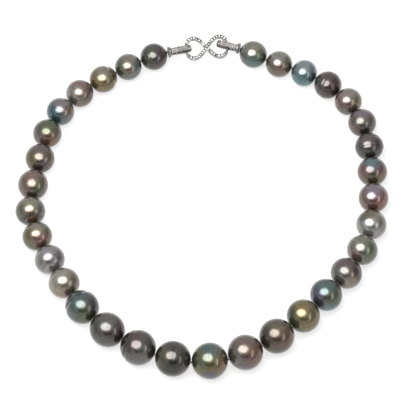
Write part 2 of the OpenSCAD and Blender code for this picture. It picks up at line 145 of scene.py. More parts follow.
# The nacre of each pearl: its body tone, then patches of other tones. A patch is a tone, the way
# it faces as a clock angle in degrees (0 right, 90 away, 180 left, 270 near), how far it leans
# from the middle of the upper face in radians (0 to 1.6), its size and its strength. The patches
# are partly the pearls' own colours and partly painted reflection and overtone sheen, laid out as
# seen from above at the front; the ink patches, mostly where a pearl meets a neighbour, are
# painted shade and dark reflection
NACRE = {
    1: ("slate", [
        ("aubergine", 10, 0.9, 0.8, 0.8), ("leaf", 170, 0.6, 0.7, 0.4),
    ]),
    2: ("steel", [
        ("leaf", 200, 0.8, 0.8, 0.6), ("rose", 300, 0.3, 0.4, 0.5), ("teal", 10, 1.0, 0.5, 0.7),
        ("champagne", 90, 0.6, 0.6, 0.5),
    ]),
    3: ("olive", [
        ("gold", 230, 0.4, 0.6, 0.4), ("copper", 30, 0.9, 0.5, 0.5),
        ("champagne", 90, 0.6, 0.7, 0.8),
    ]),
    4: ("taupe", [
        ("rose", 90, 0.6, 0.8, 0.5), ("silver", 180, 0.5, 0.7, 0.6),
        ("aubergine", 0, 1.1, 0.5, 0.4),
    ]),
    5: ("steel", [
        ("peacock", 200, 0.9, 0.9, 0.8), ("lilac", 70, 0.7, 0.6, 0.7),
        ("copper", 0, 0.9, 0.5, 0.6),
    ]),
    6: ("taupe", [
        ("leaf", 90, 0.7, 0.8, 0.9), ("copper", 280, 0.8, 0.8, 0.7),
        ("mauve", 180, 0.8, 0.5, 0.5),
    ]),
    7: ("mauve", [
        ("olive", 180, 0.8, 0.7, 0.7), ("olive", 0, 0.8, 0.6, 0.6), ("ink", 270, 1.0, 0.7, 0.5),
    ]),
    8: ("taupe", [
        ("rose", 90, 0.8, 0.6, 0.6), ("leaf", 0, 0.4, 0.5, 0.6), ("ink", 270, 1.0, 0.7, 0.4),
    ]),
    9: ("slate", [
        ("champagne", 90, 0.7, 0.8, 0.8), ("copper", 280, 0.5, 0.5, 0.8),
        ("olive", 180, 1.0, 0.6, 0.7), ("teal", 200, 0.8, 0.5, 0.4),
    ]),
    10: ("leaf", [
        ("rose", 300, 0.2, 0.7, 0.7), ("olive", 180, 1.0, 0.6, 0.5),
        ("champagne", 100, 0.8, 0.6, 0.7),
    ]),
    11: ("silver", [
        ("lilac", 80, 0.6, 0.8, 0.5), ("slate", 200, 0.9, 0.5, 0.5), ("mauve", 0, 1.0, 0.7, 0.6),
    ]),
    12: ("champagne", [
        ("silver", 120, 0.7, 0.8, 0.5), ("taupe", 0, 0.9, 0.8, 0.9), ("rose", 270, 0.9, 0.6, 0.5),
    ]),
    13: ("slate", [
        ("teal", 180, 0.8, 0.8, 0.5), ("leaf", 290, 0.7, 0.6, 0.7),
        ("peacock", 100, 0.9, 0.6, 0.6), ("ink", 0, 1.0, 0.7, 0.5),
    ]),
    14: ("slate", [
        ("aubergine", 0, 0.7, 0.8, 0.8), ("steel", 90, 0.7, 0.7, 0.5),
        ("ink", 180, 1.2, 0.7, 0.5),
    ]),
    15: ("slate", [
        ("aubergine", 150, 0.8, 0.7, 0.8), ("steel", 280, 0.8, 0.8, 0.5),
        ("ink", 180, 1.1, 0.6, 0.6),
    ]),
    16: ("ink", [
        ("olive", 170, 0.7, 0.6, 0.4), ("taupe", 330, 1.0, 0.7, 0.25),
        ("slate", 90, 0.8, 0.9, 0.5), ("ink", 280, 0.7, 0.5, 0.8),
    ]),
    17: ("olive", [
        ("peacock", 95, 0.85, 0.5, 0.9), ("violet", 268, 1.0, 0.5, 0.9),
        ("leaf", 190, 0.9, 0.7, 0.6), ("copper", 0, 0.9, 0.5, 0.6), ("steel", 60, 0.7, 0.5, 0.4),
    ]),
    18: ("mauve", [
        ("copper", 0, 0.9, 0.6, 0.8), ("steel", 200, 0.8, 0.7, 0.5), ("taupe", 90, 0.8, 0.7, 0.5),
        ("ink", 350, 1.3, 0.4, 0.6),
    ]),
    19: ("umber", [
        ("copper", 0, 0.6, 0.9, 0.3), ("taupe", 90, 0.8, 0.7, 0.6), ("ink", 180, 1.0, 0.7, 0.6),
    ]),
    20: ("olive", [
        ("gold", 80, 0.7, 0.6, 0.5), ("leaf", 200, 1.0, 0.8, 0.9), ("ink", 170, 1.2, 0.6, 0.6),
    ]),
    21: ("slate", [
        ("violet", 160, 0.7, 0.8, 0.5), ("leaf", 330, 0.5, 0.6, 0.6), ("teal", 90, 0.8, 0.7, 0.7),
        ("sky", 270, 1.1, 0.6, 0.6),
    ]),
    22: ("aubergine", [
        ("cream", 265, 0.8, 0.7, 0.5), ("steel", 190, 0.8, 0.8, 0.9),
        ("mauve", 90, 0.8, 0.6, 0.7),
    ]),
    23: ("steel", [
        ("champagne", 90, 0.6, 0.8, 0.4), ("rose", 220, 0.8, 0.6, 0.5),
        ("leaf", 0, 0.9, 0.8, 0.7),
    ]),
    24: ("silver", [
        ("olive", 95, 1.0, 0.7, 0.8), ("slate", 130, 1.1, 0.5, 0.5), ("taupe", 0, 1.0, 0.7, 0.6),
    ]),
    25: ("mauve", [
        ("rose", 0, 0.7, 0.8, 0.7), ("gold", 180, 1.0, 0.5, 0.6), ("copper", 290, 0.9, 0.7, 0.8),
        ("lilac", 95, 0.7, 0.7, 0.9),
    ]),
    26: ("slate", [
        ("rose", 180, 0.8, 0.6, 0.5), ("rose", 0, 0.8, 0.5, 0.5), ("olive", 270, 0.9, 0.7, 0.9),
        ("sky", 95, 0.8, 0.6, 0.6),
    ]),
    27: ("slate", [
        ("mauve", 95, 0.7, 0.7, 0.9), ("aubergine", 10, 0.9, 0.7, 0.7),
        ("ink", 270, 1.0, 0.6, 0.4),
    ]),
    28: ("mauve", [
        ("leaf", 90, 0.4, 0.5, 0.5), ("rose", 225, 0.7, 0.5, 0.4), ("ink", 270, 1.0, 0.7, 0.6),
        ("lilac", 80, 0.9, 0.6, 0.6),
    ]),
    29: ("taupe", [
        ("rose", 150, 0.6, 0.7, 0.4), ("gold", 350, 0.9, 0.6, 0.4), ("silver", 95, 0.7, 0.7, 0.5),
        ("mauve", 250, 0.7, 0.6, 0.6),
    ]),
    30: ("aubergine", [
        ("slate", 200, 0.7, 0.7, 0.6), ("mauve", 80, 0.8, 0.6, 0.5), ("ink", 350, 1.1, 0.6, 0.5),
    ]),
    31: ("sky", [
        ("teal", 200, 0.6, 0.8, 0.5), ("silver", 90, 0.7, 0.8, 0.6), ("steel", 0, 1.0, 0.7, 0.7),
    ]),
    32: ("taupe", [
        ("leaf", 0, 0.9, 0.8, 0.8), ("silver", 95, 0.7, 0.7, 0.7), ("rose", 300, 0.6, 0.6, 0.4),
    ]),
    33: ("steel", [
        ("teal", 280, 0.8, 0.9, 0.7), ("leaf", 0, 0.9, 0.7, 0.7),
        ("champagne", 95, 0.6, 0.8, 0.7),
    ]),
}

# Pits in the nacre: clock angle, lean from the middle of the upper face, and size
PITS = {
    1: [(150, 0.75, 0.08), (200, 0.55, 0.06)],
    16: [(88, 0.62, 0.12), (262, 0.20, 0.07), (255, 0.95, 0.05)],
    19: [(60, 0.85, 0.08)],
    23: [(240, 0.9, 0.06)],
    29: [(215, 0.8, 0.09)],
}


# ---------------------------------------------------------------- shader expressions


class Wire:
    """An output of a node. Arithmetic on it adds Math nodes."""

    def __init__(self, shader, socket):
        self.shader = shader
        self.socket = socket

    def _math(self, operation, first, second):
        return self.shader.node("ShaderNodeMath", {"operation": operation}, {0: first, 1: second})

    def __add__(self, other):
        return self._math("ADD", self, other)

    def __radd__(self, other):
        return self._math("ADD", other, self)

    def __sub__(self, other):
        return self._math("SUBTRACT", self, other)

    def __rsub__(self, other):
        return self._math("SUBTRACT", other, self)

    def __mul__(self, other):
        return self._math("MULTIPLY", self, other)

    def __rmul__(self, other):
        return self._math("MULTIPLY", other, self)

    def __abs__(self):
        return self.shader.node("ShaderNodeMath", {"operation": "ABSOLUTE"}, {0: self})


class Shader:
    """A material's or a world's nodes."""

    def __init__(self, owner):
        owner.use_nodes = True
        self.tree = owner.node_tree
        self.tree.nodes.clear()

    def node(self, kind, settings=(), sockets=(), output=0):
        """Adds a node, sets it, fills its sockets, and returns one of its outputs."""
        made = self.tree.nodes.new(kind)
        for name, value in dict(settings).items():
            setattr(made, name, value)
        for key, value in dict(sockets).items():
            if isinstance(value, Wire):
                self.tree.links.new(value.socket, made.inputs[key])
            else:
                made.inputs[key].default_value = value
        return Wire(self, made.outputs[output])

    def mix(self, factor, first, second):
        """A colour between two others."""
        return self.node(
            "ShaderNodeMix",
            {"data_type": "RGBA", "blend_type": "MIX", "clamp_factor": True},
            {0: factor, 6: first, 7: second},
            output=2,
        )

    def place(self):
        """The place on a piece, in metres."""
        return self.node("ShaderNodeTexCoord", output="Object")

    def vector(self, operation, sockets, output=0):
        """Arithmetic on vectors."""
        return self.node("ShaderNodeVectorMath", {"operation": operation}, sockets, output)

    def dot(self, vector, direction):
        """How far a vector goes in a direction."""
        return self.vector("DOT_PRODUCT", {0: vector, 1: tuple(direction)}, "Value")

    def ramp(self, value, low, high, to_low=0.0, to_high=1.0):
        """A smooth step of a value from low to high."""
        return self.node(
            "ShaderNodeMapRange",
            {"interpolation_type": "SMOOTHSTEP", "clamp": True},
            {0: value, 1: low, 2: high, 3: to_low, 4: to_high},
        )

    def noise(self, vector, scale, detail=3.0, roughness=0.5, output=0):
        """Soft irregular clouds, as a number or a colour."""
        return self.node(
            "ShaderNodeTexNoise",
            {},
            {"Vector": vector, "Scale": scale, "Detail": detail, "Roughness": roughness},
            output=output,
        )

    def bump(self, height, strength, distance):
        """A relief too fine for the mesh."""
        sockets = {"Strength": strength, "Distance": distance, "Height": height}
        return self.node("ShaderNodeBump", {}, sockets)

    def finish(self, kind, sockets, output="ShaderNodeOutputMaterial"):
        """Ends a material or a world in a shader of one kind."""
        out = self.tree.nodes.new(output)
        self.tree.links.new(self.node(kind, {}, sockets).socket, out.inputs["Surface"])


def opaque(colour):
    """A colour with its alpha."""
    return (*colour, 1.0)


def clock_direction(angle, lean):
    """The direction at a clock angle, leaning so far from the middle of a pearl's upper face."""
    turn = math.radians(angle)
    aside = RIGHTWARDS * math.cos(turn) + UPWARDS * math.sin(turn)
    return (TOWARDS * math.cos(lean) + aside * math.sin(lean)).normalized()


# ---------------------------------------------------------------- settings


class NacreSettings(PropertyGroup):
    """Finish of the pearls' surface"""

    roughness: FloatProperty(
        name="Roughness",
        description="Of the nacre",
        default=0.24,
        min=0,
        max=1,
    )
    metallic: FloatProperty(
        name="Lustre",
        description="How strongly the nacre mirrors",
        default=0.8,
        min=0,
        max=1,
    )
    coat: FloatProperty(
        name="Polish",
        description="Clear reflection over the nacre",
        default=0.45,
        min=0,
        max=1,
    )
    warp: FloatProperty(
        name="Cloudiness",
        description="How irregular the colour patches are",
        default=0.5,
        min=0,
        max=2,
    )


class MetalSettings(PropertyGroup):
    """Colours, painted shade and wear of the white gold"""

    colour: FloatVectorProperty(
        name="Metal",
        description="Polished rails",
        subtype="COLOR",
        default=(0.25, 0.238, 0.228),
    )
    # The darkest metal: painted shade on the sides of the band, and random worn patches and wire
    # marks
    shade_and_wear: FloatVectorProperty(
        name="Recess",
        description="Darkened metal",
        subtype="COLOR",
        default=(0.07, 0.065, 0.062),
    )
    edge: FloatVectorProperty(
        name="Edge",
        description="Edges of the end links",
        subtype="COLOR",
        default=(0.30, 0.283, 0.27),
    )
    # The plain wire: the white gold painted darker than the rails, as shade
    wire: FloatVectorProperty(
        name="Wire",
        description="Plain round wire",
        subtype="COLOR",
        default=(0.11, 0.105, 0.10),
    )
    bead: FloatProperty(
        name="Bead",
        description="Radius of the beads that hold the stones",
        default=0.13 * MM,
        unit="LENGTH",
    )
    roughness: FloatProperty(
        name="Roughness",
        description="Of the worn polish",
        default=0.42,
        min=0,
        max=1,
    )


class StoneSettings(PropertyGroup):
    """Colour of the small stones, the bright patches of their painted glitter"""

    colour: FloatVectorProperty(
        name="Stone",
        description="Body of the stones",
        subtype="COLOR",
        default=(0.42, 0.42, 0.44),
    )


class SilkSettings(PropertyGroup):
    """Colour and sizes of the silk"""

    colour: FloatVectorProperty(
        name="Silk",
        description="Thread colour",
        subtype="COLOR",
        default=(0.07, 0.065, 0.06),
    )
    diameter: FloatProperty(
        name="Thread",
        description="Diameter of the silk",
        default=0.5 * MM,
        unit="LENGTH",
    )
    knot: FloatProperty(
        name="Knot",
        description="Size of a knot",
        default=1.25 * MM,
        unit="LENGTH",
    )


class StageSettings(PropertyGroup):
    """Floor and lights"""

    floor: FloatVectorProperty(
        name="Floor",
        description="Colour of the floor",
        subtype="COLOR",
        default=(0.22, 0.22, 0.22),
    )
    glow: FloatProperty(
        name="Floor glow",
        description="Light of the lit table top",
        default=0.66,
        min=0,
    )
    softbox: FloatProperty(
        name="Softbox",
        description="Brightness of the light overhead",
        default=8.5,
        min=0,
    )
    strip: FloatProperty(
        name="Strip",
        description="Brightness of the strip light",
        default=3.0,
        min=0,
    )
    distance: FloatProperty(
        name="Distance",
        description="Of the lights",
        default=0.7,
        min=0.2,
        unit="LENGTH",
    )
    sky: FloatProperty(
        name="Surround",
        description="Brightness of the white surround",
        default=1.0,
        min=0,
    )


# ---------------------------------------------------------------- helpers


def to_object(name, mesh, material, body, nodes=(), smooth=True):
    """Turns a bmesh into a finished piece that rides on a body."""
    bmesh.ops.recalc_face_normals(mesh, faces=mesh.faces)
    data = bpy.data.meshes.new(name)
    mesh.to_mesh(data)
    mesh.free()
    for face in data.polygons:
        face.use_smooth = smooth
    data.materials.append(material)
    piece = bpy.data.objects.new(name, data)
    bpy.context.scene.collection.objects.link(piece)
    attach(piece, body)
    if nodes:
        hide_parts(*nodes)
    return piece


def dress(node, material):
    """Gives a CAD node that is kept its finish."""
    piece = frame["nodes"][node]
    piece.data.materials.clear()
    piece.data.materials.append(material)


def knot_name(k):
    """The joint at the knot after pearl k, counter-clockwise."""
    if k == 0:
        return "knot_01_left_end"
    if k == PEARLS:
        return "knot_33_right_end"
    return f"knot_{k:02d}_{k + 1:02d}"


def pearl_name(k):
    """The node, and the body, of pearl k."""
    return f"pearl_{k:02d}"


def pearl_place(k):
    """Centre, direction along the silk, length and diameter of a pearl."""
    before, after = PIVOTS[knot_name(k - 1)], PIVOTS[knot_name(k)]
    low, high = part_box(pearl_name(k))
    silk = after - before
    return (before + after) / 2, silk.normalized(), silk.length - KNOT_GAP, high.z - low.z


def turned_to(direction):
    """A matrix that turns +Z to a direction."""
    return direction.to_track_quat("Z", "Y").to_matrix().to_4x4()


# ---------------------------------------------------------------- materials


# Nacre: the scale of each pattern on a pearl of radius 1, and how much it tints and lifts it;
# the darkening of the pits is painted shade
CLOUDS = 1.1
DRIFT, DRIFT_TINT = 0.9, 0.35
LUMPS, LUMP_HEIGHT = 3.5, 4.0
GROWTH, GROWTH_TINT, GROWTH_HEIGHT = 2.2, 0.42, 1.6
SPECKLE, SPECKLE_TINT, SPECKLE_HEIGHT = 26.0, 0.16, 0.4
PIT_SHADE, PIT_HEIGHT = 0.7, -6.0
# Growth lines crowd along the silk this many times closer than across it
GROWTH_STRETCH = (9, 9, 9)
# Where a patch or a pit starts to show and where it is full, as shares of its size
PATCH_EDGE = (1.35, 0.25)
PIT_EDGE = (1.8, 0.4)


def spot(s, where, angle, lean, size, edge):
    """A mask that is 1 on one spot of a pearl and fades over its edge."""
    facing = s.dot(where, clock_direction(angle, lean))
    return s.ramp(facing, math.cos(size * edge[0]), math.cos(size * edge[1]))


def nacre_material(k, settings):
    """The nacre of one pearl: patches of overtone on its body tone, partly painted reflection and
    sheen; growth lines; and pits. Its ink patches, ring dips and pits carry painted shade.
    """
    material = bpy.data.materials.new(f"nacre_{k:02d}")
    s = Shader(material)
    centre, along, length, diameter = pearl_place(k)
    reach = diameter / 2
    seed = (k * 3.7, k * 1.9, k * 5.3)
    to_unit = {"Vector": s.place(), "Location": -centre / reach, "Scale": (1 / reach,) * 3}
    where = s.node("ShaderNodeMapping", {"vector_type": "POINT"}, to_unit)
    shifted = s.vector("ADD", {0: where, 1: seed})
    cloud = s.noise(shifted, CLOUDS, detail=2.0, output="Color")
    bent = s.vector("SUBTRACT", {0: cloud, 1: (0.5, 0.5, 0.5)})
    bent = s.vector("SCALE", {0: bent, "Scale": settings.warp})
    warped = s.vector("ADD", {0: where, 1: bent})
    ink = opaque(TONES["ink"])

    body, patches = NACRE[k]
    colour = opaque(TONES[body])
    drift = s.ramp(s.noise(shifted, DRIFT, detail=1.0), 0.42, 0.68)
    colour = s.mix(drift * DRIFT_TINT, colour, opaque(TONES[patches[0][0]]))
    # Patches: partly own colour, partly painted reflection and sheen; ink ones are painted shade
    for tone, angle, lean, size, strength in patches:
        mask = spot(s, warped, angle, lean, size, PATCH_EDGE)
        colour = s.mix(mask * strength, colour, opaque(TONES[tone]))

    place = s.dot(where, along)
    for ring, depth, width in RINGS.get(k, ()):
        # Painted shade: each ring is painted darker the deeper its dip is
        away = abs(place - ring * length / diameter)
        groove_shade = s.ramp(away, 0.0, width * 1.3, 1.0, 0.0)
        colour = s.mix(groove_shade * min(0.75, 0.3 + depth * 1.5), colour, ink)

    pitted = 0.0
    for angle, lean, size in PITS.get(k, ()):
        pitted = pitted + spot(s, where, angle, lean, size, PIT_EDGE)
    # Painted shade: each pit is painted dark
    if k in PITS:
        colour = s.mix(pitted * PIT_SHADE, colour, ink)

    lumps = s.noise(shifted, LUMPS, detail=2.0)
    lines = s.vector("SCALE", {0: tuple(along), "Scale": place})
    lines = s.vector("MULTIPLY_ADD", {0: lines, 1: GROWTH_STRETCH, 2: shifted})
    growth = s.noise(lines, GROWTH, detail=4.0)
    speckle = s.noise(shifted, SPECKLE, detail=3.0, roughness=0.6)
    colour = s.mix(s.ramp(growth, 0.38, 0.68) * GROWTH_TINT, colour, ink)
    colour = s.mix(s.ramp(speckle, 0.5, 0.8) * SPECKLE_TINT, colour, opaque(TONES["cream"]))

    height = speckle * SPECKLE_HEIGHT + growth * GROWTH_HEIGHT + lumps * LUMP_HEIGHT
    height = height + pitted * PIT_HEIGHT
    s.finish(
        "ShaderNodeBsdfPrincipled",
        {
            "Base Color": colour,
            "Metallic": settings.metallic,
            "Roughness": settings.roughness + (speckle - 0.5) * 0.12 + (growth - 0.5) * 0.08,
            "Coat Weight": settings.coat,
            "Coat Roughness": 0.07,
            "Coat IOR": 1.6,
            "Normal": s.bump(height, 0.16, 0.12 * MM),
        },
    )
    return material


# Metal: depth below a flat face at which its polish ends and starts; deeper lies the side
# colour, which on the band is painted shade
POLISH_ENDS = 0.2 * MM
POLISH_STARTS = 0.03 * MM


def metal_material(name, settings, side, origin, axis, thickness):
    """White gold: polished on both faces of a flat piece, with the side colour between them.
    On the band, the side colour is painted shade.
    """
    material = bpy.data.materials.new(name)
    s = Shader(material)
    where = s.place()
    height = abs(s.dot(s.vector("SUBTRACT", {0: where, 1: tuple(origin)}), axis))
    face = s.ramp(height, thickness / 2 - POLISH_ENDS, thickness / 2 - POLISH_STARTS)
    marks = s.noise(where, 2500.0, detail=3.0)
    worn = s.noise(where, 420.0, detail=3.0)
    colour = s.mix(face, opaque(side), opaque(settings.colour))
    colour = s.mix(s.ramp(worn, 0.35, 0.7) * 0.4, colour, opaque(settings.shade_and_wear))
    s.finish(
        "ShaderNodeBsdfPrincipled",
        {
            "Base Color": colour,
            "Metallic": 1.0,
            "Roughness": settings.roughness + (worn - 0.5) * 0.15,
            "Normal": s.bump(marks + worn, 0.25, 0.03 * MM),
        },
    )
    return material


def wire_material(settings):
    """The plain round wire, drawn, with fine marks: the white gold painted darker than the rails,
    as shade.
    """
    material = bpy.data.materials.new("plain_wire")
    s = Shader(material)
    marks = s.noise(s.place(), 1800.0, detail=4.0)
    colour = s.mix(s.ramp(marks, 0.35, 0.7), opaque(settings.wire), opaque(settings.shade_and_wear))
    s.finish(
        "ShaderNodeBsdfPrincipled",
        {
            "Base Color": colour,
            "Metallic": 1.0,
            "Roughness": 0.3 + marks * 0.12,
            "Normal": s.bump(marks, 0.2, 0.02 * MM),
        },
    )
    return material


def stone_material(settings):
    """Small clear stones, with glitter painted on their facets as random dark and bright patches.
    """
    material = bpy.data.materials.new("brilliant")
    s = Shader(material)
    # Painted reflection: noise picks dark or bright patches over the facets, as glitter
    painted_glint = s.noise(s.place(), 1500.0, detail=2.0, roughness=0.7)
    painted_dark_facet = (0.03, 0.03, 0.035, 1.0)
    colour = s.mix(s.ramp(painted_glint, 0.4, 0.6), painted_dark_facet, opaque(settings.colour))
    s.finish(
        "ShaderNodeBsdfPrincipled",
        {
            "Base Color": colour,
            "Metallic": 0.9,
            "Roughness": 0.08,
            "IOR": 2.2,
            "Coat Weight": 0.5,
        },
    )
    return material


def silk_material(settings):
    """Twisted silk thread."""
    material = bpy.data.materials.new("silk")
    s = Shader(material)
    fibre = s.noise(s.place(), 6000.0, detail=4.0)
    pale_fibre = (0.16, 0.15, 0.14, 1.0)
    colour = s.mix(s.ramp(fibre, 0.3, 0.7), opaque(settings.colour), pale_fibre)
    s.finish(
        "ShaderNodeBsdfPrincipled",
        {
            "Base Color": colour,
            "Roughness": 0.75,
            "Sheen Weight": 0.4,
            "Normal": s.bump(fibre, 0.6, 0.05 * MM),
        },
    )
    return material


# ---------------------------------------------------------------- operators


# The lamps, each named as the setting that holds its brightness: the direction that it shines
# from, and its two sizes in metres
LAMPS = {
    "softbox": ((-0.234, -0.21, 0.949), (0.82, 0.62)),
    "strip": ((0.709, -0.472, 0.524), (0.15, 0.50)),
}


def add_camera(scene):
    """Looks at the strand from VIEW_ELEVATION through the long lens."""
    camera = bpy.data.cameras.new("camera")
    camera.lens = LENS
    camera.sensor_width = SENSOR
    camera.clip_end = 20.0
    view = bpy.data.objects.new("camera", camera)
    view.location = VIEW_TARGET + TOWARDS * (VIEW_WIDTH * LENS / SENSOR)
    view.rotation_euler = TOWARDS.to_track_quat("Z", "Y").to_euler()
    scene.collection.objects.link(view)
    scene.camera = view


def add_floor(scene, settings):
    """A pale, lit table top."""
    mesh = bmesh.new()
    bmesh.ops.create_grid(mesh, x_segments=1, y_segments=1, size=FLOOR_SIZE)
    data = bpy.data.meshes.new("floor")
    mesh.to_mesh(data)
    mesh.free()
    material = bpy.data.materials.new("floor")
    Shader(material).finish(
        "ShaderNodeBsdfPrincipled",
        {
            "Base Color": opaque(settings.floor),
            "Roughness": 0.6,
            "Emission Color": (1, 1, 1, 1),
            "Emission Strength": settings.glow,
        },
    )
    data.materials.append(material)
    floor = bpy.data.objects.new("floor", data)
    scene.collection.objects.link(floor)


def add_surround(scene, settings):
    """The white studio, with the darker parts that polished pearls need in their reflections."""
    world = bpy.data.worlds.new("surround")
    scene.world = world
    s = Shader(world)
    direction = s.node("ShaderNodeTexCoord", output="Generated")
    across = s.dot(direction, RIGHTWARDS)
    depth = s.dot(direction, Vector((0, 1, 0)))
    height = s.dot(direction, Vector((0, 0, 1)))
    # The dark studio behind the camera, seen as a flat bar
    bar = s.ramp(height, 0.34, 0.46) * s.ramp(height, 0.80, 0.66)
    bar = bar * s.ramp(abs(across), 0.62, 0.36) * s.ramp(depth, -0.2, -0.5)
    # The dim wall at the back, and the dim flanks
    wall = s.ramp(depth, 0.55, 0.9) * s.ramp(height, 0.75, 0.45)
    flanks = s.ramp(across, 0.45, 0.95) * 0.5 + s.ramp(across, -0.45, -0.95) * 0.3
    level = settings.sky * (1 - bar * 0.93) * (1 - wall * 0.1) * (1 - flanks)
    sockets = {"Color": (1, 1, 1, 1), "Strength": level}
    s.finish("ShaderNodeBackground", sockets, "ShaderNodeOutputWorld")


def add_lamp(scene, name, direction, size, brightness, distance):
    """An oval soft light that faces the strand."""
    lamp = bpy.data.lights.new(name, "AREA")
    lamp.shape = "ELLIPSE"
    lamp.size, lamp.size_y = size
    lamp.energy = brightness * math.pi * size[0] * size[1] * math.pi / 4
    light = bpy.data.objects.new(name, lamp)
    back = Vector(direction).normalized()
    across = UPWARDS.cross(back).normalized()
    turn = Matrix((across, back.cross(across), back)).transposed().to_4x4()
    light.matrix_world = Matrix.Translation(back * distance) @ turn
    scene.collection.objects.link(light)


class NECKLACE_OT_stage(Operator):
    """Adds the camera, the pale floor and the soft studio light"""

    bl_idname = "necklace.stage"
    bl_label = "Stage"

    def execute(self, context):
        settings = context.scene.necklace_stage
        scene = context.scene
        scene.view_settings.view_transform = "Standard"
        scene.view_settings.look = "None"
        add_camera(scene)
        add_floor(scene, settings)
        add_surround(scene, settings)
        for name, (direction, size) in LAMPS.items():
            brightness = getattr(settings, name)
            add_lamp(scene, name, direction, size, brightness, settings.distance)
        return {"FINISHED"}


class NECKLACE_OT_pearls(Operator):
    """Turns every pearl, with its growth rings and the seats of the knots"""

    bl_idname = "necklace.pearls"
    bl_label = "Pearls"

    around: IntProperty(name="Around", description="Steps round the silk", default=64, min=12)
    along: IntProperty(name="Along", description="Steps along the silk", default=96, min=12)
    seat: FloatProperty(
        name="Seat",
        description="Radius of a knot's seat",
        default=0.73 * MM,
        unit="LENGTH",
    )

    def execute(self, context):
        settings = context.scene.necklace_nacre
        for k in range(1, PEARLS + 1):
            centre, along, length, diameter = pearl_place(k)
            mesh = bmesh.new()
            bmesh.ops.create_uvsphere(
                mesh, u_segments=self.around, v_segments=self.along, radius=1.0
            )
            mouth = math.sqrt(self.seat**2 - (KNOT_GAP / 2) ** 2)
            for vert in mesh.verts:
                place = vert.co.z
                out = vert.co.xy.length
                dip = sum(
                    depth * math.exp(-(((place - ring) / width) ** 2))
                    for ring, depth, width in RINGS.get(k, ())
                )
                radius = (diameter / 2 - dip * MM) * out
                height = length / 2 * place
                if radius < mouth:
                    end = math.copysign(length / 2 + KNOT_GAP / 2, place)
                    height = end - math.copysign(math.sqrt(self.seat**2 - radius**2), place)
                if out > 1e-6:
                    vert.co.xy *= radius / out
                vert.co.z = height
            turn = Matrix.Translation(centre) @ turned_to(along)
            bmesh.ops.transform(mesh, matrix=turn, verts=mesh.verts)
            name = pearl_name(k)
            to_object(f"nacre_{name}", mesh, nacre_material(k, settings), name, [name])
        return {"FINISHED"}


def add_loop(mesh, radius, thickness):
    """Adds one closed loop of thread about Z, and returns its vertices."""
    before = set(mesh.verts)
    ring = bmesh.ops.create_circle(mesh, segments=10, radius=thickness)["verts"]
    upright = Matrix.Translation((radius, 0, 0)) @ Matrix.Rotation(math.pi / 2, 4, "X")
    bmesh.ops.transform(mesh, matrix=upright, verts=ring)
    edges = {edge for vert in ring for edge in vert.link_edges}
    bmesh.ops.spin(
        mesh,
        geom=ring + list(edges),
        cent=(0, 0, 0),
        axis=(0, 0, 1),
        angle=2 * math.pi,
        steps=20,
        use_merge=True,
    )
    return [vert for vert in mesh.verts if vert not in before]


# The two loops of a knot: each one's turn about the silk, then its lean, in radians
KNOT_LOOPS = ((0.0, 0.5), (2.1, -0.45))


class NECKLACE_OT_knots(Operator):
    """Ties a silk knot on both sides of the middle pearl and beyond every other pearl"""

    bl_idname = "necklace.knots"
    bl_label = "Silk knots"

    thread: FloatProperty(
        name="Thread",
        description="Length seen between pearls",
        default=1.3 * MM,
        unit="LENGTH",
    )

    def execute(self, context):
        settings = context.scene.necklace_silk
        silk = silk_material(settings)
        rod = settings.diameter / 2
        for k in range(1, PEARLS + 1):
            mesh = bmesh.new()
            ends = []
            if k <= MIDDLE:
                ends.append(knot_name(k - 1))
            if k >= MIDDLE:
                ends.append(knot_name(k))
            along = pearl_place(k)[1]
            for end in ends:
                place = Matrix.Translation(PIVOTS[end]) @ turned_to(along)
                for turn, lean in KNOT_LOOPS:
                    loop = add_loop(mesh, settings.knot * 0.26, settings.diameter * 0.42)
                    tilt = Matrix.Rotation(turn, 4, "Z") @ Matrix.Rotation(lean, 4, "X")
                    bmesh.ops.transform(mesh, matrix=place @ tilt, verts=loop)
                thread = bmesh.ops.create_cone(
                    mesh, cap_ends=True, segments=12, radius1=rod, radius2=rod, depth=self.thread
                )["verts"]
                bmesh.ops.transform(mesh, matrix=place, verts=thread)
            name = pearl_name(k)
            to_object(f"silk_{name}", mesh, silk, name, [name])
        return {"FINISHED"}


# What stone_places takes as one vertex, as one plane, and as one way that faces look
SAME_POINT = 0.001 * MM
SAME_PLANE = 0.01 * MM
SAME_WAY = 0.999


def stone_places(node):
    """Base centre, outward axis and radius of every stone in a node of stones."""
    mesh = bmesh.new()
    mesh.from_mesh(frame["nodes"][node].data)
    bmesh.ops.remove_doubles(mesh, verts=mesh.verts, dist=SAME_POINT)
    places = []
    left = set(mesh.verts)
    while left:
        island = {left.pop()}
        front = list(island)
        while front:
            for edge in front.pop().link_edges:
                for vert in edge.verts:
                    if vert in left:
                        left.discard(vert)
                        island.add(vert)
                        front.append(vert)
        faces = {face for vert in island for face in vert.link_faces}
        normals = [(face.normal.copy(), face.calc_area()) for face in faces]

        def flat(way):
            """Sum of the normals that point one way, each as long as its face is large."""
            same = (normal * area for normal, area in normals if normal.dot(way) > SAME_WAY)
            return sum(same, Vector())

        base = max((flat(normal) for normal, _ in normals), key=lambda total: total.length)
        base.normalize()
        reach = max(vert.co.dot(base) for vert in island)
        rim = [vert.co for vert in island if vert.co.dot(base) > reach - SAME_PLANE]
        low, high = [Vector((f(co[i] for co in rim) for i in range(3))) for f in (min, max)]
        centre = (low + high) / 2
        radius = max((co - centre).length for co in rim)
        places.append((centre, -base, radius))
    mesh.free()
    # The islands come in no fixed order, so the stones are put in one, from left to right
    return sorted(places, key=lambda place: tuple(place[0]))


# A cut stone: its girdle as a share of its height, and its table as a share of its radius
GIRDLE = 0.3
TABLE = 0.52


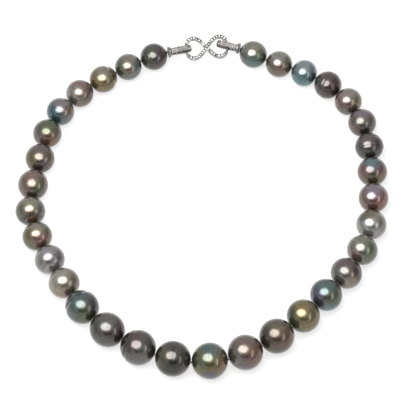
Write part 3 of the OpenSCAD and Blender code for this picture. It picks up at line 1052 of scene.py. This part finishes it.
def add_brilliant(mesh, centre, axis, radius, height, spin):
    """Adds a cut stone: an eight-sided crown with a table, and the girdle below it."""
    place = Matrix.Translation(centre) @ turned_to(axis) @ Matrix.Rotation(spin, 4, "Z")
    girdle = height * GIRDLE
    for low, high, top in ((0.0, girdle, radius), (girdle, height, radius * TABLE)):
        verts = bmesh.ops.create_cone(
            mesh, cap_ends=True, segments=8, radius1=radius, radius2=top, depth=high - low
        )["verts"]
        lift = Matrix.Translation((0, 0, (low + high) / 2))
        bmesh.ops.transform(mesh, matrix=place @ lift, verts=verts)


def add_bead(mesh, centre, radius):
    """Adds a small bead of metal."""
    place = Matrix.Translation(centre)
    bmesh.ops.create_icosphere(mesh, subdivisions=2, radius=radius, matrix=place)


def link_axes(places, pivot):
    """Directions of an end link: along it, across its width, and out of the face that is seen."""
    middle = sum((place[0] for place in places), Vector()) / len(places)
    along = (middle - pivot).normalized()
    out = max((place[1] for place in places), key=lambda axis: axis.dot(TOWARDS))
    return along, out.cross(along).normalized(), out


def edge_places(pivot, along, across, out, step):
    """Points in two rows round the outer edge of an end link, each with its outward direction."""
    line = []
    count = round((LINK_LENGTH - LINK_WIDTH / 2 - LINK_FLARE_START) / step)
    for side in (1, -1):
        for n in range(1, count):
            run = n * step
            share = min(1.0, run / (LINK_FLARE_END - LINK_FLARE_START))
            half = (LINK_NECK_WIDTH + (LINK_WIDTH - LINK_NECK_WIDTH) * share) / 2
            point = pivot + along * (LINK_FLARE_START + run) + across * side * half
            line.append((point, across * side))
    end = pivot + along * (LINK_LENGTH - LINK_WIDTH / 2)
    turns = round(math.pi * LINK_WIDTH / 2 / step)
    for n in range(turns + 1):
        angle = math.pi * (n / turns - 0.5)
        ray = along * math.cos(angle) + across * math.sin(angle)
        line.append((end + ray * LINK_WIDTH / 2, ray))
    rows = [out * sign * LINK_THICKNESS * EDGE_ROW for sign in (-1, 1)]
    return [(point + row, ray) for point, ray in line for row in rows]


# Stones are neighbours, with beads between them, when no further apart than this many radii
NEIGHBOUR = 2.6


class NECKLACE_OT_clasp(Operator):
    """Finishes the figure eight, its gate and the end links, and sets their stones"""

    bl_idname = "necklace.clasp"
    bl_label = "Clasp"

    crown: FloatProperty(
        name="Crown",
        description="Height of a stone",
        default=0.34 * MM,
        unit="LENGTH",
    )
    pitch: FloatProperty(
        name="Pitch",
        description="Of the stones on a link's edge",
        default=0.78 * MM,
        unit="LENGTH",
    )

    def set_stones(self, name, places, body, metal, stone):
        """Cuts the stones of one node, with beads between those that are neighbours."""
        bead = bpy.context.scene.necklace_metal.bead
        stones = bmesh.new()
        beads = bmesh.new()
        for n, (centre, axis, radius) in enumerate(places):
            add_brilliant(stones, centre, axis, radius, self.crown, n * STONE_TURN)
            for other, other_axis, _ in places[n + 1 :]:
                step = other - centre
                if other_axis.dot(axis) > 0.9 and step.length < NEIGHBOUR * radius:
                    side = axis.cross(step).normalized() * radius * 0.72
                    lift = axis * self.crown * 0.55
                    for sign in (-1, 1):
                        add_bead(beads, (centre + other) / 2 + side * sign + lift, bead)
        to_object(f"set_{name}", stones, stone, body, [name], smooth=False)
        to_object(f"beads_{name}", beads, metal, body)

    def fill_face(self, name, places, end, body, stone):
        """Carries a row of stones on over a plain face, from the stone nearest to end up to it."""
        last, axis, radius = min(places, key=lambda place: (place[0] - end).length)
        way = end - last
        way -= axis * way.dot(axis)
        count = round(way.length / (2 * radius))
        rise = axis * (BAND_THICKNESS / 2 - axis.dot(last - end))
        stones = bmesh.new()
        for n in range(1, count + 1):
            point = last + way * n / count + rise
            add_brilliant(stones, point, axis, radius * 0.8, self.crown * 0.5, n * STONE_TURN)
        to_object(f"face_stones_{name}", stones, stone, body, smooth=False)

    def finish_end(self, side, pivot, settings, stone, silk):
        """Finishes one cup and end link, with stones on its edge and beads round the cup."""
        places = stone_places(f"{side}_stones")
        along, across, out = link_axes(places, pivot)
        name = f"{side}_link_gold"
        metal = metal_material(name, settings, settings.edge, pivot, out, LINK_THICKNESS)
        body = f"{side}_end"
        for node in (f"{side}_cup", f"{side}_link"):
            dress(node, metal)
        dress(f"{side}_tie", silk)
        self.set_stones(f"{side}_stones", places, body, metal, stone)
        edge = bmesh.new()
        points = edge_places(pivot, along, across, out, self.pitch)
        for n, (point, direction) in enumerate(points):
            radius = self.pitch * 0.42
            add_brilliant(edge, point, direction, radius, self.crown * 0.5, n * STONE_TURN)
        to_object(f"{side}_edge_stones", edge, stone, body, smooth=False)
        rim = bmesh.new()
        for n in range(CUP_BEADS):
            angle = 2 * math.pi * n / CUP_BEADS
            ray = across * math.cos(angle) + out * math.sin(angle)
            centre = pivot + along * CUP_RIM + ray * CUP_DIAMETER / 2
            add_bead(rim, centre, CUP_BEAD_RADIUS)
        to_object(f"{side}_cup_beads", rim, metal, body)

    def execute(self, context):
        settings = context.scene.necklace_metal
        stone = stone_material(context.scene.necklace_stone)
        silk = silk_material(context.scene.necklace_silk)
        hinge = Vector(GATE_HINGE["pos_m"])
        axis = Vector(GATE_HINGE["axis"]).normalized()
        # The sides of the band get the darkest metal colour: painted shade between its two faces
        band = metal_material(
            "white_gold", settings, settings.shade_and_wear, hinge, axis, BAND_THICKNESS
        )
        wire = wire_material(settings)
        for node in ("eight_frame", "gate", "gate_pin"):
            dress(node, band)
        for node in ("left_end_wire", "right_end_wire"):
            dress(node, wire)
        gate_places = stone_places("gate_stones")
        self.set_stones(
            "eight_stones", stone_places("eight_stones"), "figure_eight", band, stone
        )
        self.set_stones("gate_stones", gate_places, "gate", band, stone)
        self.fill_face("gate", gate_places, hinge, "gate", stone)
        self.finish_end("left", PIVOTS["knot_01_left_end"], settings, stone, silk)
        self.finish_end("right", PIVOTS["knot_33_right_end"], settings, stone, silk)
        return {"FINISHED"}


class NECKLACE_PT_panel(Panel):
    """Lists the pieces of the necklace"""

    bl_idname = "NECKLACE_PT_panel"
    bl_label = "Pearl necklace"
    bl_space_type = "VIEW_3D"
    bl_region_type = "UI"
    bl_category = "Necklace"

    def draw(self, context):
        for operator in OPERATORS:
            self.layout.operator(operator.bl_idname)
        for name in SETTINGS:
            group = getattr(context.scene, name)
            box = self.layout.box()
            for key in group.__annotations__:
                box.prop(group, key)


SETTINGS = {
    "necklace_nacre": NacreSettings,
    "necklace_metal": MetalSettings,
    "necklace_stone": StoneSettings,
    "necklace_silk": SilkSettings,
    "necklace_stage": StageSettings,
}
OPERATORS = (NECKLACE_OT_stage, NECKLACE_OT_pearls, NECKLACE_OT_knots, NECKLACE_OT_clasp)
CLASSES = (*SETTINGS.values(), *OPERATORS, NECKLACE_PT_panel)


def register():
    for cls in CLASSES:
        bpy.utils.register_class(cls)
    for name, group in SETTINGS.items():
        setattr(bpy.types.Scene, name, PointerProperty(type=group))


def unregister():
    for name in SETTINGS:
        delattr(bpy.types.Scene, name)
    for cls in reversed(CLASSES):
        bpy.utils.unregister_class(cls)


def main():
    """Registers the add-on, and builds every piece."""
    register()
    bpy.ops.necklace.stage()
    bpy.ops.necklace.pearls()
    bpy.ops.necklace.knots()
    bpy.ops.necklace.clasp()


if __name__ == "__main__":
    main()
